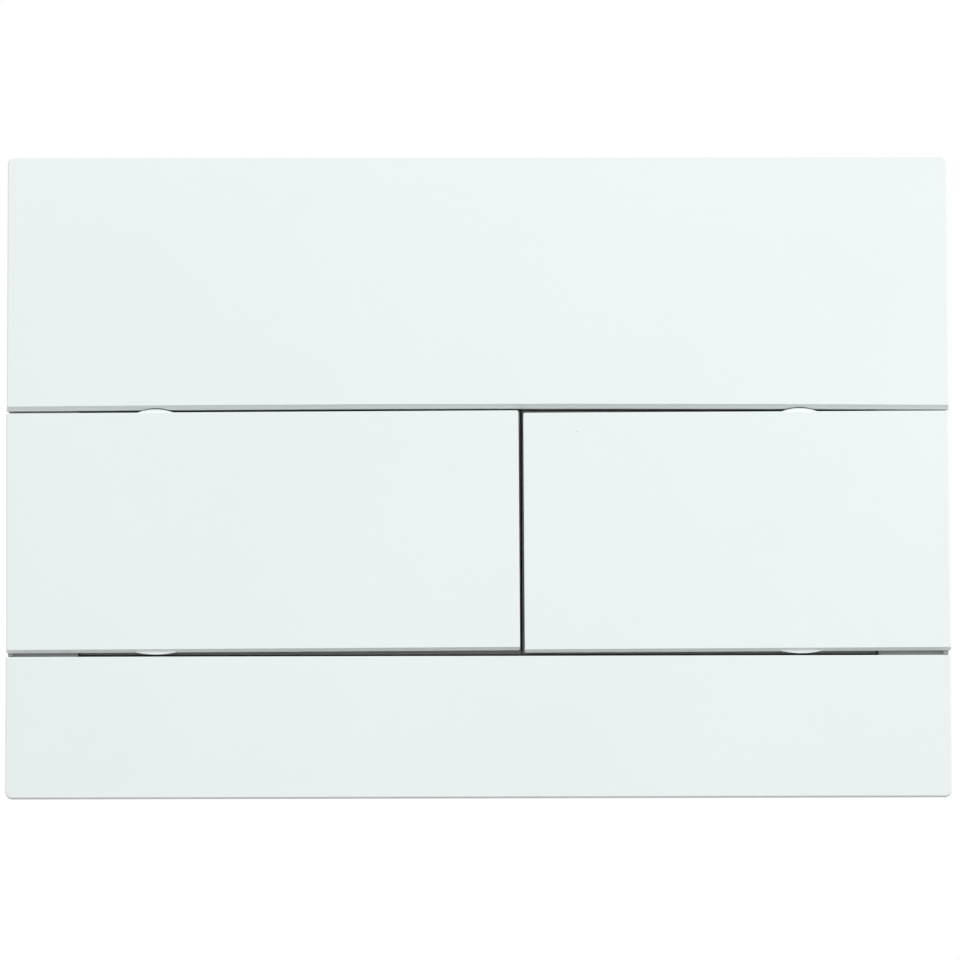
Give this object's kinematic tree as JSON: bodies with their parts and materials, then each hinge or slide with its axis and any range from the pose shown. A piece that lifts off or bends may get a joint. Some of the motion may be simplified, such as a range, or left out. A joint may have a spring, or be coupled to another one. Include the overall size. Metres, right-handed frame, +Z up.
{
  "type": "flush button plate",
  "caption": "Slim rectangular dual-flush plate with a wide and a narrow hinged button between two panels, on a wall carrier with push rods to a concealed cistern.",
  "frame": {"origin": "centre of the plate in the plane of the wall's face, midway between the two fixing bolts", "axes": "+X to the right, +Z up, +Y into the wall; the front of the plate faces -Y"},
  "size_m": [0.2205, 0.075, 0.1504],
  "materials": {
    "white_plastic": "satin white moulded plastic",
    "carrier_plastic": "matt grey moulded plastic",
    "tray_plastic": "matt light grey moulded plastic",
    "steel": "bright drawn stainless wire and pin",
    "rubber": "soft black rubber",
    "rod_plastic": "natural white acetal",
    "zinc_steel": "zinc-plated steel"
  },
  "bodies": {
    "plate": {"carrier_frame": "carrier_plastic", "upper_cover": "white_plastic", "lower_cover": "white_plastic", "full_button_axle": "steel", "half_button_axle": "steel", "full_return_spring": "steel", "half_return_spring": "steel", "full_rest_pads": "rubber", "half_rest_pads": "rubber", "full_stop_bumpers": "rubber", "half_stop_bumpers": "rubber", "mounting_plate": "tray_plastic", "full_guide_bush": "rod_plastic", "half_guide_bush": "rod_plastic", "left_fixing_bolt": "zinc_steel", "right_fixing_bolt": "zinc_steel", "left_bolt_nut": "zinc_steel", "right_bolt_nut": "zinc_steel"},
    "full_button": {"full_flush_button": "white_plastic"},
    "half_button": {"half_flush_button": "white_plastic"},
    "full_rod": {"full_push_rod": "rod_plastic", "full_rod_cap": "rod_plastic", "full_rod_nut": "rod_plastic"},
    "half_rod": {"half_push_rod": "rod_plastic", "half_rod_cap": "rod_plastic", "half_rod_nut": "rod_plastic"}
  },
  "joints": [
    {"name": "full_button_hinge", "type": "hinge", "parent": "plate", "child": "full_button", "pos_m": [-0.089, 0.0015, -0.0128], "axis": [0, 0, 1], "range_deg": [0, 3.58], "stiffness_Nm_per_rad": 1.5, "springref_deg": -8.59, "deforming": ["full_return_spring"]},
    {"name": "half_button_hinge", "type": "hinge", "parent": "plate", "child": "half_button", "pos_m": [0.089, 0.0015, -0.0128], "axis": [0, 0, -1], "range_deg": [0, 3.58], "stiffness_Nm_per_rad": 1.5, "springref_deg": -8.59, "deforming": ["half_return_spring"]},
    {"name": "full_rod_slide", "type": "slide", "parent": "plate", "child": "full_rod", "axis": [0, 1, 0], "range_m": [0, 0.0035]},
    {"name": "half_rod_slide", "type": "slide", "parent": "plate", "child": "half_rod", "axis": [0, 1, 0], "range_m": [0, 0.0035]}
  ],
  "couplings": [
    {"joint": "full_rod_slide", "follows": "full_button_hinge", "m_per_rad": 0.056},
    {"joint": "half_rod_slide", "follows": "half_button_hinge", "m_per_rad": 0.056}
  ]
}
